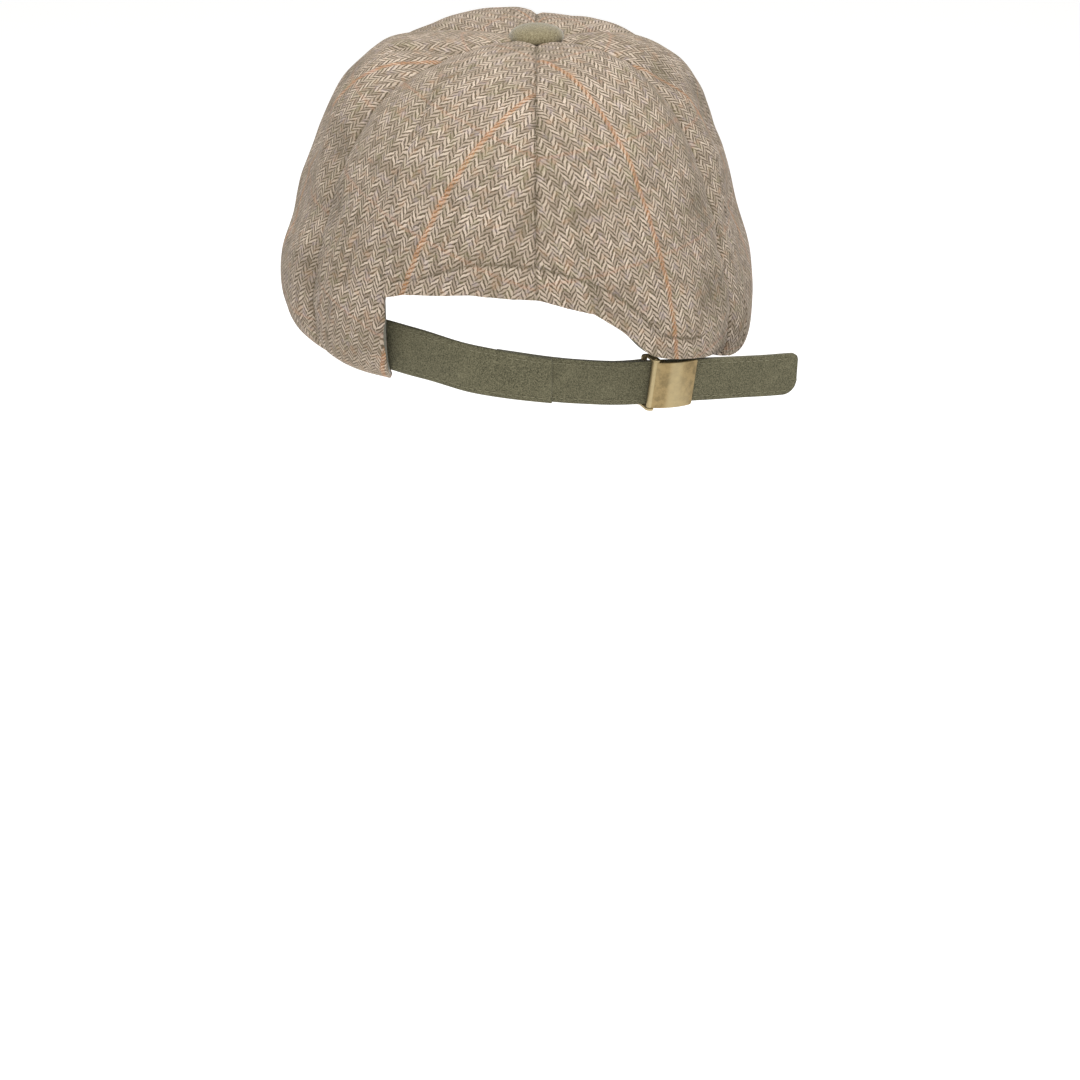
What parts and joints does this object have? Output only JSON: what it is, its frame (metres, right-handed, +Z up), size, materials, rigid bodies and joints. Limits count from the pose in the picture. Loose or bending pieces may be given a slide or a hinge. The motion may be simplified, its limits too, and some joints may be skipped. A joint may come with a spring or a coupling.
{
  "type": "newsboy cap",
  "caption": "Six-panel tweed newsboy cap with covered button, hidden stiff visor and a back arch closed by a strap and clip buckle.",
  "frame": {"origin": "centre of the head opening, in the plane of its rim", "axes": "+Z up through the crown, +Y to the wearer's back where the strap is, +X to the wearer's left"},
  "size_m": [0.2384, 0.2691, 0.1699],
  "materials": {
    "tweed": "herringbone wool, brushed",
    "lining": "smooth satin weave",
    "sweatband": "cotton twill tape",
    "visor_board": "moulded sheet",
    "olive_suede": "short nap, edge-stitched",
    "button_steel": "pressed sheet",
    "antique_brass": "antique, brushed"
  },
  "bodies": {
    "cap": {"crown_panel_back_left": "tweed", "crown_panel_back_right": "tweed", "crown_panel_side_right": "tweed", "crown_panel_front_right": "tweed", "crown_panel_front_left": "tweed", "crown_panel_side_left": "tweed", "lining_panel_back_left": "lining", "lining_panel_back_right": "lining", "lining_panel_side_right": "lining", "lining_panel_front_right": "lining", "lining_panel_front_left": "lining", "lining_panel_side_left": "lining", "arch_facing": "lining", "sweatband": "sweatband", "visor_top_cover": "tweed", "visor_bottom_cover": "tweed", "visor_board": "visor_board", "button_cover": "olive_suede", "button_shell": "button_steel", "button_back": "button_steel", "button_washer": "button_steel", "strap_root_section": "olive_suede", "strap_tail_section": "olive_suede"},
    "buckle": {"buckle_frame": "antique_brass", "buckle_pin": "antique_brass", "buckle_tab": "olive_suede"},
    "lever": {"buckle_lever": "antique_brass"}
  },
  "joints": [
    {"name": "strap_adjust", "type": "slide", "parent": "cap", "child": "buckle", "axis": [-0.9147, -0.3883, -0.1123], "range_m": [-0.018, 0.03]},
    {"name": "lever_hinge", "type": "hinge", "parent": "buckle", "child": "lever", "pos_m": [-0.05958, 0.08477, 0.00156], "axis": [0.1034, 0.0439, -0.9937], "range_deg": [0, 100]}
  ]
}
